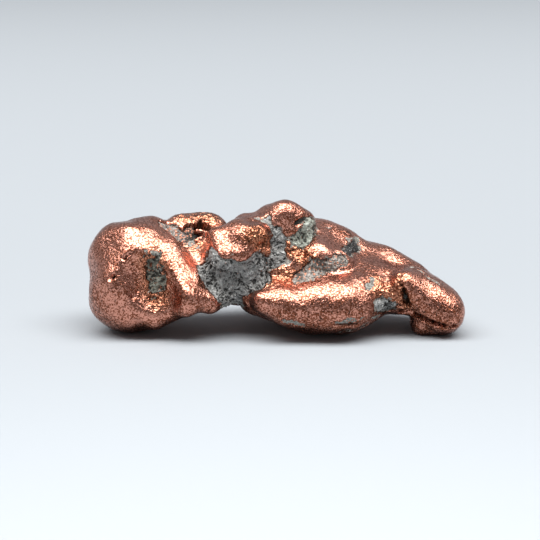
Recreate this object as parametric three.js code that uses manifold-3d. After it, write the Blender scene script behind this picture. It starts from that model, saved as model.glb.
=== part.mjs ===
// Native copper nugget: one lumpy mass of metal, about 62 mm long, with grey and green rock still
// seated in its hollows. Units are millimetres: +X runs from the round head to the narrow tail,
// +Y to the back and +Z up. The nugget lies on three worn spots at z = 0, and the origin is
// the centre of its bounding box on that plane.
import * as THREE from "three";
import { mergeVertices } from "three/addons/utils/BufferGeometryUtils.js";
import Module from "manifold-3d";

const wasm = await Module();
wasm.setup();

// Driving dimensions.
const blend = 0.45; // how softly neighbouring lobes run together
const seatGap = 0.32; // between a rock filling and the wall of its pocket
const rockRecess = 0.25; // rock faces lie this far under the metal around them
const ringsAlong = 54; // resolution of the nugget's skin, head to tail
const stepsAround = 36;
const capShare = 0.16; // share of the rings that closes each rounded end
const settleRounds = 6; // times that the skin's points are evened out

// The metal is a union of lobes. Each is a rounded cone: [x, y, z, radius] at both ends.
const copperLobes = {
  headLow: [[-24.2, 0, 6.75, 7.1], [-21.5, 0.5, 6.6, 6.2]],
  headHigh: [[-24.5, 2.8, 11.5, 6.9], [-22.4, 2.8, 12.5, 6.3]],
  headSide: [[-24.2, 0.6, 9.3, 6.7], [-23, 2, 9.3, 6.6]],
  headBack: [[-22.5, 5.5, 8.5, 6.2], [-18, 6, 8.5, 5.6]],
  headBrow: [[-25.4, 0.6, 13.8, 3.8], [-24.9, -3.4, 9.6, 3.8]],
  headFace: [[-23.6, -0.2, 14.6, 3.9], [-23.4, -2.8, 12.2, 3.9]],
  headCrown: [[-21.4, -0.2, 14.2, 4], [-21.4, -2.6, 12.2, 4]],
  headRidge: [[-18.8, -1.4, 13.4, 3.2], [-15.2, -6.6, 7.4, 2.7]],
  headToe: [[-15.2, -6.4, 7.6, 2.7], [-11.2, -5.4, 6.4, 1.7]],
  toeEnd: [[-11.2, -5.4, 6.4, 1.7], [-8.6, -4.4, 6.6, 1.3]],
  headFill: [[-18, -1, 9.5, 4.4], [-14.4, -3.4, 8.2, 3.6]],
  headSole: [[-20.5, -3.6, 5, 3.6], [-16, -4.6, 6.4, 2.6]],
  waist: [[-18, 2, 9.2, 5], [-4, 1.5, 9.6, 5]],
  waistFill: [[-12, -2, 8, 2.7], [-6.5, -1.8, 8.2, 2.7]],
  backDome: [[-15.6, 5.5, 14.5, 4.4], [-12.4, 5.5, 14.5, 4.4]],
  thumb: [[-9.2, -1.6, 15.9, 2.4], [-8.8, -4.2, 13.4, 2.3]],
  thumbEnd: [[-6.4, -1.8, 16.6, 2.5], [-6, -4.2, 14.4, 2.3]],
  thumbCrest: [[-5.6, -3.6, 17, 1.8], [-3, -2.7, 16.8, 1.7]],
  thumbTip: [[-4, -2.2, 14.4, 2.2], [-2.4, -1.6, 13.4, 2.1]],
  thumbRoot: [[-9.5, -0.5, 12, 3.4], [-3.5, -0.8, 12, 3.4]],
  knobShoulder: [[-5, 2.6, 16.6, 2.8], [0, 3, 17.4, 3]],
  knobBridge: [[-5.5, 0, 16.2, 2.7], [-1.5, 0.4, 16.9, 2.6]],
  knobTop: [[-1.2, 3.6, 18.2, 2.4], [0.9, 1.9, 19.2, 2.3]],
  knobSide: [[0.8, 1.9, 19.2, 2.3], [3.6, 2.8, 17.4, 2.8]],
  knobHeel: [[5.6, 7.4, 14.5, 3.1], [8.6, 7, 13.2, 3.2]],
  knob: [[0.4, 3, 16.9, 3.6], [1.2, 2, 11, 4.9]],
  core: [[-6, 2, 9, 5.2], [8, 2, 8.5, 5.4]],
  ridge: [[5.2, 6.2, 12.8, 4], [12, 7.2, 9.8, 4.8]],
  ridgeBack: [[2, 7, 10, 5.2], [12, 5.6, 8.6, 4.8]],
  terrace: [[7, -0.8, 12.7, 2.7], [6.8, 6, 14.2, 3.2]],
  terraceRight: [[9.8, -0.4, 11.7, 2.6], [10.6, 6, 12.9, 3.3]],
  shoulder: [[12, -4.4, 6, 4], [13.6, 7, 8.8, 4.2]],
  shoulderFace: [[8, -4, 6.2, 3.3], [9, 4, 8.4, 3.6]],
  shoulderBack: [[15, -2, 6.2, 4], [16.6, 6, 8.2, 4.3]],
  frontTip: [[-2.2, -6.2, 6.6, 1.9], [1.2, -5.8, 5.9, 3.1]],
  frontLobe: [[1.2, -5.8, 5.9, 3.1], [9, -5.1, 5.3, 4.1]],
  frontRoot: [[-3, -2.4, 6.4, 3.2], [6, -2.4, 5.8, 4.2]],
  elbow: [[9, -5.1, 5.3, 4.1], [13, -3.2, 6.4, 4.1]],
  bellyLeft: [[0, -3.5, 6, 3.5], [6, -2.4, 5.2, 4.6]],
  belly: [[6, -2.4, 5.1, 4.8], [10.4, -2, 5.3, 5.1]],
  backMid: [[-4, 7, 9, 5.6], [6, 7, 8, 5.6]],
  backFoot: [[3, 7, 4.3, 4.4], [6, 7, 4.3, 4.3]],
  tailRoot: [[16, 1, 7, 4.4], [21.5, 0.5, 6.6, 3.7]],
  tailKnuckle: [[18.8, -3, 6.6, 2.1], [20.2, -2.4, 5.6, 2]],
  tailRidge: [[15, 7.4, 8.6, 4.6], [25, 4.2, 4.9, 3.9]],
  tailCrest: [[17.6, 6.2, 8.8, 3.9], [22.5, 4.4, 7, 3.6]],
  tip: [[21, -2.9, 8.7, 2.6], [27.5, -2.8, 4, 3.55]],
  tipTop: [[21.5, -0.6, 8.3, 2.9], [27, -0.4, 4.6, 3.4]],
  lip: [[24, -2, 1.8, 1.95], [27.2, -1.8, 1.9, 2.05]],
};

// Smooth hollows pressed into the lobes: a rounded cone, and the softness of its rim.
const dents = {
  headHollow: { cone: [[-20.9, -9.3, 12, 4.4], [-19.9, -9.5, 8.8, 4.4]], rim: 0.6 },
};

// Pockets of rock. Each is a chain of rounded cones sunk into the skin of the metal.
const rocks = {
  rock_main: {
    colour: 0x6f6d66,
    cones: [
      [[-10.8, -4.6, 13, 2.4], [-9.2, -3.6, 7.6, 2.9]],
      [[-9.2, -3.6, 7.6, 2.9], [-7.4, -3.2, 5.8, 2.2]],
      [[-10.2, -4.6, 12.6, 2.2], [-4, -4.2, 12.4, 2.4]],
      [[-8.2, -3.6, 8.4, 2.8], [-3.6, -3.6, 10.4, 2.4]],
      [[-4, -3.8, 11.6, 2], [-0.2, -2.4, 13, 1.5]],
      [[-0.2, -2.4, 13, 1.5], [0.2, -1.3, 16.2, 1.2]],
      [[0.2, -1.3, 16.2, 1.2], [-1.6, -0.3, 18.6, 0.8]],
    ],
  },
  rock_head: {
    colour: 0x74756a,
    cones: [
      [[-20.2, -5.1, 12.9, 1.2], [-19.4, -4.7, 10.4, 1.4]],
      [[-19.4, -4.7, 10.4, 1.4], [-19.9, -4.7, 8.4, 1]],
    ],
  },
  rock_neck: {
    colour: 0x8b8880,
    cones: [[[-18.4, 1.4, 17.3, 1.4], [-16, 1, 15.6, 1.2]]],
  },
  rock_green: {
    colour: 0x96998d,
    cones: [[[3.5, -0.4, 15.4, 1.4], [5.7, 1.2, 17.6, 1.5]]],
  },
  rock_streak: {
    colour: 0x948e86,
    cones: [
      [[3.4, -3.7, 9.8, 1.1], [6.2, -3.3, 11.2, 1.7]],
      [[6.2, -3.3, 11.2, 1.7], [10.4, -2.6, 12.8, 1.2]],
    ],
  },
  rock_slot: {
    colour: 0x3f3d3b,
    cones: [[[11.6, -0.2, 13.5, 1.1], [13.2, 3.4, 13.9, 1.1]]],
  },
  rock_elbow: {
    colour: 0x7d7a72,
    cones: [[[16.2, -5.4, 6, 1.2], [18.2, -4.4, 5.4, 1.4]]],
  },
  rock_belly: {
    colour: 0x8a877d,
    cones: [[[10.8, -6.6, 2.4, 0.9], [13.8, -6, 3, 0.9]]],
  },
  rock_back: {
    colour: 0x7b7971,
    cones: [
      [[-9.4, 7.8, 10.6, 2.4], [-8.8, 8.6, 6.6, 2]],
      [[-9.4, 7.8, 10.6, 2.4], [-8.2, 7.6, 12.6, 1.5]],
    ],
  },
  rock_back_tail: {
    colour: 0x858279,
    cones: [[[13.6, 11, 7.2, 1.6], [17.4, 10.6, 6.2, 1.2]]],
  },
};

// A line through the inside of the metal, from the middle of the head to the middle of the tail.
const spine = new THREE.CatmullRomCurve3(
  [
    [-23.2, 0.6, 9.6],
    [-14, 1.6, 9.8],
    [-6, 1.8, 9.8],
    [2, 1.2, 9.4],
    [11, 0.4, 8],
    [19, 0, 7],
    [26, -1.6, 4.8],
  ].map((point) => new THREE.Vector3(...point)),
);

const nearest = new THREE.Vector3();

// Distance from a point to a rounded cone, negative inside it.
function coneDistance(point, [a, b]) {
  const axis = new THREE.Line3(new THREE.Vector3(...a), new THREE.Vector3(...b));
  const t = axis.closestPointToPointParameter(point, true);
  axis.at(t, nearest);
  return nearest.distanceTo(point) - THREE.MathUtils.lerp(a[3], b[3], t);
}

// A slow swell that keeps the lobes from looking turned on a lathe.
function swell({ x, y, z }) {
  return new THREE.Vector3(
    x + 0.22 * Math.sin(0.55 * y + 0.42 * z + 1) + 0.05 * Math.sin(1.3 * z - 1.1 * y + 0.5),
    y + 0.22 * Math.sin(0.5 * x + 0.35 * z) + 0.05 * Math.sin(1.2 * x - 0.9 * z + 2),
    z + 0.18 * Math.sin(0.6 * x + 0.45 * y + 2) + 0.05 * Math.sin(1.4 * x + y + 4),
  );
}

// The nugget's outer surface is where this is zero: a soft union of the lobes, less the dents.
function metal(point) {
  const moved = swell(point);
  let sum = 0;
  for (const lobe of Object.values(copperLobes)) {
    sum += Math.exp(-coneDistance(moved, lobe) / blend);
  }
  let distance = -blend * Math.log(sum);
  for (const { cone, rim } of Object.values(dents)) {
    const outside = -coneDistance(moved, cone);
    const apart = Math.abs(distance - outside);
    distance = Math.max(distance, outside) + rim * Math.log1p(Math.exp(-apart / rim));
  }
  return distance;
}

// A ray from the spine through each point of a sphere: rings across the middle, fans at the ends.
function spineRay(pole) {
  const share = 1 - Math.acos(THREE.MathUtils.clamp(pole.y, -1, 1)) / Math.PI;
  const along = THREE.MathUtils.clamp((share - capShare) / (1 - 2 * capShare), 0, 1);
  const turn = (Math.min(share, 1 - share, capShare) / capShare) * (Math.PI / 2);
  const tangent = spine.getTangent(along);
  const up = new THREE.Vector3(0, 0, 1).addScaledVector(tangent, -tangent.z).normalize();
  const back = new THREE.Vector3().crossVectors(up, tangent);
  const round = new THREE.Vector2(pole.z, pole.x);
  if (round.length() > 1e-6) round.normalize();
  const direction = new THREE.Vector3()
    .addScaledVector(back, round.x * Math.sin(turn))
    .addScaledVector(up, round.y * Math.sin(turn))
    .addScaledVector(tangent, Math.sign(share - 0.5) * Math.cos(turn))
    .normalize();
  return new THREE.Ray(spine.getPoint(along), direction);
}

function slope(point, step = 0.05) {
  const far = ["x", "y", "z"].map((axis) => {
    const ahead = point.clone();
    const behind = point.clone();
    ahead[axis] += step;
    behind[axis] -= step;
    return (metal(ahead) - metal(behind)) / (2 * step);
  });
  return new THREE.Vector3(...far);
}

// Moves a point along the field's slope until it lies on the surface.
function drop(point) {
  for (let round = 0; round < 2; round += 1) {
    const gradient = slope(point);
    point.addScaledVector(gradient, -metal(point) / Math.max(gradient.lengthSq(), 0.2));
  }
}

function closed(geometry) {
  geometry.deleteAttribute("normal");
  geometry.deleteAttribute("uv");
  return mergeVertices(geometry, 1e-4);
}

// The skin: a sphere whose points are sent out along the spine rays to the metal's surface,
// then evened out so that the steep walls between lobes get their share of points.
function skin() {
  const sphere = closed(new THREE.SphereGeometry(1, stepsAround, ringsAlong));
  const position = sphere.getAttribute("position");
  const points = [];
  for (let i = 0; i < position.count; i += 1) {
    const ray = spineRay(new THREE.Vector3().fromBufferAttribute(position, i));
    const point = ray.origin.clone();
    for (let step = 0; step < 80; step += 1) {
      const distance = metal(point);
      if (distance > -0.003) break;
      point.addScaledVector(ray.direction, Math.max(-0.8 * distance, 0.004));
    }
    points.push(point);
  }
  const neighbours = points.map(() => new Set());
  const { array } = sphere.index;
  for (let i = 0; i < array.length; i += 3) {
    const corners = [array[i], array[i + 1], array[i + 2]];
    for (const a of corners) for (const b of corners) if (a !== b) neighbours[a].add(b);
  }
  for (let round = 0; round < settleRounds; round += 1) {
    const middles = neighbours.map((around) => {
      const middle = new THREE.Vector3();
      for (const n of around) middle.add(points[n]);
      return middle.divideScalar(around.size);
    });
    points.forEach((point, i) => {
      point.lerp(middles[i], 0.5);
      drop(point);
    });
  }
  points.forEach((point, i) => position.setXYZ(i, point.x, point.y, point.z));
  return sphere;
}

// A rounded cone as a closed mesh, grown by a margin.
function coneMesh([a, b], margin) {
  const start = new THREE.Vector3(...a);
  const end = new THREE.Vector3(...b);
  const length = start.distanceTo(end);
  const arcSteps = 3;
  const profile = [];
  for (let i = 0; i <= arcSteps; i += 1) {
    const angle = (i / arcSteps - 1) * (Math.PI / 2);
    const r = a[3] + margin;
    profile.push(new THREE.Vector2(i ? r * Math.cos(angle) : 0, r * Math.sin(angle)));
  }
  for (let i = 0; i <= arcSteps; i += 1) {
    const angle = (i / arcSteps) * (Math.PI / 2);
    const r = b[3] + margin;
    const x = i < arcSteps ? r * Math.cos(angle) : 0;
    profile.push(new THREE.Vector2(x, length + r * Math.sin(angle)));
  }
  const geometry = new THREE.LatheGeometry(profile, 8);
  const facing = new THREE.Quaternion().setFromUnitVectors(
    new THREE.Vector3(0, 1, 0),
    end.clone().sub(start).normalize(),
  );
  return closed(geometry).applyQuaternion(facing).translate(start.x, start.y, start.z);
}

function toSolid(geometry) {
  return new wasm.Manifold(
    new wasm.Mesh({
      numProp: 3,
      vertProperties: new Float32Array(geometry.getAttribute("position").array),
      triVerts: new Uint32Array(geometry.index.array),
    }),
  );
}

function toGeometry(solid) {
  const mesh = solid.getMesh();
  return new THREE.BufferGeometry()
    .setAttribute("position", new THREE.BufferAttribute(mesh.vertProperties, 3))
    .setIndex(new THREE.BufferAttribute(mesh.triVerts, 1));
}

function pocket(cones, margin) {
  return cones.map((cone) => toSolid(coneMesh(cone, margin))).reduce((all, one) => all.add(one));
}

// A copy of a solid with every point moved in along its normal.
function inset(solid, depth) {
  const geometry = toGeometry(solid);
  geometry.computeVertexNormals();
  const position = geometry.getAttribute("position");
  const normal = geometry.getAttribute("normal");
  const point = new THREE.Vector3();
  const away = new THREE.Vector3();
  for (let i = 0; i < position.count; i += 1) {
    point.fromBufferAttribute(position, i);
    point.addScaledVector(away.fromBufferAttribute(normal, i), -depth);
    position.setXYZ(i, point.x, point.y, point.z);
  }
  geometry.deleteAttribute("normal");
  return toSolid(geometry);
}

const whole = toSolid(skin());
const ground = toSolid(closed(new THREE.BoxGeometry(100, 60, 10).translate(0, 0, -5)));
const worn = whole.subtract(ground);

// The rocks' outer faces are the metal's own skin, moved in by the recess.
const inner = inset(worn, rockRecess);

let copper = worn;
for (const { cones } of Object.values(rocks)) copper = copper.subtract(pocket(cones, seatGap / 2));

const nugget = new THREE.Group();
nugget.name = "native_copper_nugget";

const solids = { copper_nugget: [copper, 0xb87358, 0.35, 1] };
for (const [name, { cones, colour }] of Object.entries(rocks)) {
  solids[name] = [pocket(cones, -seatGap / 2).intersect(inner), colour, 0.9, 0];
}

// Every piece shares one shift, which puts the origin at the bottom centre of the whole.
const box = new THREE.Box3().setFromBufferAttribute(toGeometry(worn).getAttribute("position"));
const middle = box.getCenter(new THREE.Vector3());
for (const [name, [solid, color, roughness, metalness]] of Object.entries(solids)) {
  const geometry = toGeometry(solid).translate(-middle.x, -middle.y, 0);
  const material = new THREE.MeshStandardMaterial({ color, roughness, metalness });
  const mesh = new THREE.Mesh(geometry, material);
  mesh.name = name;
  nugget.add(mesh);
}

export default nugget;
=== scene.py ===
import math

import bpy
import numpy as np
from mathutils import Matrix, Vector


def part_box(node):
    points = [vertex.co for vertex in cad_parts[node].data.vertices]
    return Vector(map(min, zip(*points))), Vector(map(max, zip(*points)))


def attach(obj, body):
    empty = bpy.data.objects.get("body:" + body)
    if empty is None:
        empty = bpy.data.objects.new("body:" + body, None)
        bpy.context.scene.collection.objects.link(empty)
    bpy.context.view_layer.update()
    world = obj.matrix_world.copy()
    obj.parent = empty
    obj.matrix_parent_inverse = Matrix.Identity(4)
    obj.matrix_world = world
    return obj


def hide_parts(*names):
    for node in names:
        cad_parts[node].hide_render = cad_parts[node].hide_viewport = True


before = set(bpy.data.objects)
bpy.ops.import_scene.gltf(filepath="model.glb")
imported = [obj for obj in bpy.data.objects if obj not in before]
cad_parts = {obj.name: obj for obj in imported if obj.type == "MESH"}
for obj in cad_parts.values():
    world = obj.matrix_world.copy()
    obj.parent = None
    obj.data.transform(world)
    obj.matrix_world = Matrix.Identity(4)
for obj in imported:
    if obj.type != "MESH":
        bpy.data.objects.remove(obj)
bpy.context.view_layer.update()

mm = 0.001

# The metal, in mm: each lobe is a rounded cone, (x, y, z, radius) at both ends.
metalShape = {
    "blend": 0.45,
    "lobes": {
        "headLow": ((-24.2, 0, 6.75, 7.1), (-21.5, 0.5, 6.6, 6.2)),
        "headHigh": ((-24.5, 2.8, 11.5, 6.9), (-22.4, 2.8, 12.5, 6.3)),
        "headSide": ((-24.2, 0.6, 9.3, 6.7), (-23, 2, 9.3, 6.6)),
        "headBack": ((-22.5, 5.5, 8.5, 6.2), (-18, 6, 8.5, 5.6)),
        "headBrow": ((-25.4, 0.6, 13.8, 3.8), (-24.9, -3.4, 9.6, 3.8)),
        "headFace": ((-23.6, -0.2, 14.6, 3.9), (-23.4, -2.8, 12.2, 3.9)),
        "headCrown": ((-21.4, -0.2, 14.2, 4), (-21.4, -2.6, 12.2, 4)),
        "headRidge": ((-18.8, -1.4, 13.4, 3.2), (-15.2, -6.6, 7.4, 2.7)),
        "headToe": ((-15.2, -6.4, 7.6, 2.7), (-11.2, -5.4, 6.4, 1.7)),
        "toeEnd": ((-11.2, -5.4, 6.4, 1.7), (-8.6, -4.4, 6.6, 1.3)),
        "headFill": ((-18, -1, 9.5, 4.4), (-14.4, -3.4, 8.2, 3.6)),
        "headSole": ((-20.5, -3.6, 5, 3.6), (-16, -4.6, 6.4, 2.6)),
        "waist": ((-18, 2, 9.2, 5), (-4, 1.5, 9.6, 5)),
        "waistFill": ((-12, -2, 8, 2.7), (-6.5, -1.8, 8.2, 2.7)),
        "backDome": ((-15.6, 5.5, 14.5, 4.4), (-12.4, 5.5, 14.5, 4.4)),
        "thumb": ((-9.2, -1.6, 15.9, 2.4), (-8.8, -4.2, 13.4, 2.3)),
        "thumbEnd": ((-6.4, -1.8, 16.6, 2.5), (-6, -4.2, 14.4, 2.3)),
        "thumbCrest": ((-5.6, -3.6, 17, 1.8), (-3, -2.7, 16.8, 1.7)),
        "thumbTip": ((-4, -2.2, 14.4, 2.2), (-2.4, -1.6, 13.4, 2.1)),
        "thumbRoot": ((-9.5, -0.5, 12, 3.4), (-3.5, -0.8, 12, 3.4)),
        "knobShoulder": ((-5, 2.6, 16.6, 2.8), (0, 3, 17.4, 3)),
        "knobBridge": ((-5.5, 0, 16.2, 2.7), (-1.5, 0.4, 16.9, 2.6)),
        "knobTop": ((-1.2, 3.6, 18.2, 2.4), (0.9, 1.9, 19.2, 2.3)),
        "knobSide": ((0.8, 1.9, 19.2, 2.3), (3.6, 2.8, 17.4, 2.8)),
        "knobHeel": ((5.6, 7.4, 14.5, 3.1), (8.6, 7, 13.2, 3.2)),
        "knob": ((0.4, 3, 16.9, 3.6), (1.2, 2, 11, 4.9)),
        "core": ((-6, 2, 9, 5.2), (8, 2, 8.5, 5.4)),
        "ridge": ((5.2, 6.2, 12.8, 4), (12, 7.2, 9.8, 4.8)),
        "ridgeBack": ((2, 7, 10, 5.2), (12, 5.6, 8.6, 4.8)),
        "terrace": ((7, -0.8, 12.7, 2.7), (6.8, 6, 14.2, 3.2)),
        "terraceRight": ((9.8, -0.4, 11.7, 2.6), (10.6, 6, 12.9, 3.3)),
        "shoulder": ((12, -4.4, 6, 4), (13.6, 7, 8.8, 4.2)),
        "shoulderFace": ((8, -4, 6.2, 3.3), (9, 4, 8.4, 3.6)),
        "shoulderBack": ((15, -2, 6.2, 4), (16.6, 6, 8.2, 4.3)),
        "frontTip": ((-2.2, -6.2, 6.6, 1.9), (1.2, -5.8, 5.9, 3.1)),
        "frontLobe": ((1.2, -5.8, 5.9, 3.1), (9, -5.1, 5.3, 4.1)),
        "frontRoot": ((-3, -2.4, 6.4, 3.2), (6, -2.4, 5.8, 4.2)),
        "elbow": ((9, -5.1, 5.3, 4.1), (13, -3.2, 6.4, 4.1)),
        "bellyLeft": ((0, -3.5, 6, 3.5), (6, -2.4, 5.2, 4.6)),
        "belly": ((6, -2.4, 5.1, 4.8), (10.4, -2, 5.3, 5.1)),
        "backMid": ((-4, 7, 9, 5.6), (6, 7, 8, 5.6)),
        "backFoot": ((3, 7, 4.3, 4.4), (6, 7, 4.3, 4.3)),
        "tailRoot": ((16, 1, 7, 4.4), (21.5, 0.5, 6.6, 3.7)),
        "tailKnuckle": ((18.8, -3, 6.6, 2.1), (20.2, -2.4, 5.6, 2)),
        "tailRidge": ((15, 7.4, 8.6, 4.6), (25, 4.2, 4.9, 3.9)),
        "tailCrest": ((17.6, 6.2, 8.8, 3.9), (22.5, 4.4, 7, 3.6)),
        "tip": ((21, -2.9, 8.7, 2.6), (27.5, -2.8, 4, 3.55)),
        "tipTop": ((21.5, -0.6, 8.3, 2.9), (27, -0.4, 4.6, 3.4)),
        "lip": ((24, -2, 1.8, 1.95), (27.2, -1.8, 1.9, 2.05)),
    },
    "dents": {
        "headHollow": (((-20.9, -9.3, 12, 4.4), (-19.9, -9.5, 8.8, 4.4)), 0.6),
    },
}

# Line inside the metal, from the middle of the head to the middle of the tail.
spineShape = {
    "points": ((-23.2, 0.6, 9.6), (-14, 1.6, 9.8), (-6, 1.8, 9.8), (2, 1.2, 9.4),
               (11, 0.4, 8), (19, 0, 7), (26, -1.6, 4.8)),
    "rings": 140, "turns": 78, "capShare": 0.16,
    "marchSteps": 70, "marchShare": 0.8, "marchLeast": 0.004, "marchEnd": 0.003,
    "settle": 14, "finer": 3, "settleFiner": 4,
}


latticeSize = 65536
latticePrimes = (73856093, 19349663, 83492791)


def makeLattice(seed):
    return np.random.RandomState(seed).uniform(-1, 1, latticeSize)


def latticeKey(cell):
    # the place of each cell's random value in the lattice table
    x, y, z = (cell[..., k] * latticePrimes[k] for k in range(3))
    key = x ^ y ^ z
    return (key ^ (key >> 13)) & (latticeSize - 1)


def latticeNoise(points, scale, seed):
    # smooth blend of random values on a cubic lattice with `scale` cells to the mm, -1 to 1
    table = makeLattice(seed)
    q = points * scale
    cell = np.floor(q).astype(np.int64)
    f = q - cell
    f = f * f * (3 - 2 * f)
    total = np.zeros(points.shape[:-1])
    for corner in np.ndindex(2, 2, 2):
        wx, wy, wz = (f[..., k] if corner[k] else 1 - f[..., k] for k in range(3))
        total += wx * wy * wz * table[latticeKey(cell + corner)]
    return total


def cloudNoise(points, scale, octaves, seed):
    # lattice noise summed over octaves, each twice as fine and half as strong
    total, weight = np.zeros(points.shape[:-1]), 0
    for k in range(octaves):
        total += latticeNoise(points + 17.3 * k, scale * 2 ** k, seed + k) * 0.5 ** k
        weight += 0.5 ** k
    return total / weight


def grainNoise(points, scale, seed):
    # distance to the nearest and second nearest of the random seeds, one in each cell
    tables = [makeLattice(seed + k) * 0.5 + 0.5 for k in range(3)]
    q = points * scale
    cell = np.floor(q).astype(np.int64)
    near = np.full(points.shape[:-1], 9.0)
    second = near.copy()
    for step in np.ndindex(3, 3, 3):
        neighbour = cell + step - 1
        key = latticeKey(neighbour)
        seedPoint = neighbour + np.stack([t[key] for t in tables], -1)
        d = np.sqrt(((q - seedPoint) ** 2).sum(-1))
        second = np.minimum(second, np.maximum(near, d))
        near = np.minimum(near, d)
    return near, second


def smoothStep(low, high, x):
    t = np.clip((x - low) / (high - low), 0, 1)
    return t * t * (3 - 2 * t)


def swell(p):
    # slow waves that keep the lobes from looking turned on a lathe
    x, y, z = p[..., 0], p[..., 1], p[..., 2]
    return np.stack([
        x + 0.22 * np.sin(0.55 * y + 0.42 * z + 1) + 0.05 * np.sin(1.3 * z - 1.1 * y + 0.5),
        y + 0.22 * np.sin(0.5 * x + 0.35 * z) + 0.05 * np.sin(1.2 * x - 0.9 * z + 2),
        z + 0.18 * np.sin(0.6 * x + 0.45 * y + 2) + 0.05 * np.sin(1.4 * x + y + 4),
    ], -1)


def coneDistance(p, cone):
    # distance to a segment less the radius there, and the direction away from the segment
    a, b = np.array(cone, float)
    axis = b[:3] - a[:3]
    t = np.clip((p - a[:3]) @ axis / (axis @ axis), 0, 1)
    away = p - a[:3] - t[..., None] * axis
    length = np.sqrt((away ** 2).sum(-1))
    return length - (a[3] + t * (b[3] - a[3])), away / np.maximum(length, 1e-6)[..., None]


def metalField(p):
    # soft least distance to the lobes, then soft greatest with the dents turned inside out;
    # zero on the skin, with its slope
    q = swell(p)
    blend = metalShape["blend"]
    total = np.zeros(p.shape[:-1])
    slope = np.zeros(p.shape)
    for cone in metalShape["lobes"].values():
        d, away = coneDistance(q, cone)
        w = np.exp(np.clip(-d / blend, -60, 60))
        total += w
        slope += w[..., None] * away
    distance = -blend * np.log(np.maximum(total, 1e-26))
    slope /= np.maximum(total, 1e-26)[..., None]
    for cone, rim in metalShape["dents"].values():
        d, away = coneDistance(q, cone)
        apart = distance + d
        w = 1 / (1 + np.exp(np.clip(-apart / rim, -60, 60)))
        distance = np.maximum(distance, -d) + rim * np.log1p(np.exp(-np.abs(apart) / rim))
        slope = w[..., None] * slope - (1 - w)[..., None] * away
    return distance, slope


def dropToSkin(p, rounds):
    for _ in range(rounds):
        d, slope = metalField(p)
        p = p - slope * (d / np.maximum((slope ** 2).sum(-1), 0.25))[..., None]
    return p


def skinNormals(p):
    slope = metalField(p)[1]
    return slope / np.maximum(np.sqrt((slope ** 2).sum(-1)), 1e-6)[..., None]


def smoothCurve(points, t):
    # Catmull-Rom curve through the points, and its direction
    pts = np.array(points, float)
    pts = np.vstack([2 * pts[0] - pts[1], pts, 2 * pts[-1] - pts[-2]])
    s = t * (len(points) - 1)
    k = np.clip(np.floor(s).astype(int), 0, len(points) - 2)
    f = (s - k)[..., None]
    a, b, c, d = pts[k], pts[k + 1], pts[k + 2], pts[k + 3]
    at = 0.5 * (2 * b + (c - a) * f + (2 * a - 5 * b + 4 * c - d) * f ** 2
                + (3 * b - a - 3 * c + d) * f ** 3)
    along = 0.5 * ((c - a) + 2 * (2 * a - 5 * b + 4 * c - d) * f + 3 * (3 * b - a - 3 * c + d) * f ** 2)
    return at, along / np.sqrt((along ** 2).sum(-1))[..., None]


def settle(grid, rounds):
    # each point moves halfway to the middle of its four neighbours, then back to the skin
    for _ in range(rounds):
        around = np.roll(grid, 1, 1)[1:-1] + np.roll(grid, -1, 1)[1:-1] + grid[:-2] + grid[2:]
        grid[1:-1] = dropToSkin((grid[1:-1] + around / 4) / 2, 1)
        grid[0], grid[-1] = grid[1].mean(0), grid[-2].mean(0)
        grid[[0, -1]] = dropToSkin(grid[[0, -1]], 2)
    return grid


def finerGrid(grid, times):
    # the same grid with `times` as many rows and columns, joined up round the columns
    rows, turns = grid.shape[:2]
    r = np.linspace(0, rows - 1, (rows - 1) * times + 1)
    c = np.arange(turns * times) / times
    r0 = np.minimum(r.astype(int), rows - 2)
    c0 = c.astype(int)
    fr, fc = (r - r0)[:, None, None], (c - c0)[None, :, None]
    low = grid[r0][:, c0] * (1 - fc) + grid[r0][:, (c0 + 1) % turns] * fc
    high = grid[r0 + 1][:, c0] * (1 - fc) + grid[r0 + 1][:, (c0 + 1) % turns] * fc
    return low * (1 - fr) + high * fr


def nuggetSkin():
    # rays leave the spine, square to it along the middle and fanned out over both ends, and
    # stop where the metal's field is zero: u runs from head to tail and v around
    u = np.linspace(0, 1, spineShape["rings"] + 1)
    v = np.arange(spineShape["turns"]) / spineShape["turns"] * 2 * np.pi
    cap = spineShape["capShare"]
    u, v = np.meshgrid(u, v, indexing="ij")
    origin, tangent = smoothCurve(spineShape["points"], np.clip((u - cap) / (1 - 2 * cap), 0, 1))
    turn = np.minimum(np.minimum(u, 1 - u), cap) / cap * np.pi / 2
    up = np.array((0, 0, 1.0)) - tangent * tangent[..., 2:]
    up /= np.sqrt((up ** 2).sum(-1))[..., None]
    back = np.cross(up, tangent)
    ray = (back * np.cos(v)[..., None] + up * np.sin(v)[..., None]) * np.sin(turn)[..., None]
    ray += tangent * (np.sign(u - 0.5) * np.cos(turn))[..., None]
    p = origin.copy()
    for _ in range(spineShape["marchSteps"]):
        d = metalField(p)[0]
        stride = np.maximum(-spineShape["marchShare"] * d, spineShape["marchLeast"])
        p += ray * np.where(d < -spineShape["marchEnd"], stride, 0)[..., None]
    grid = settle(p, spineShape["settle"])
    grid = dropToSkin(finerGrid(grid, spineShape["finer"]), 2)
    return settle(grid, spineShape["settleFiner"])


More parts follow.
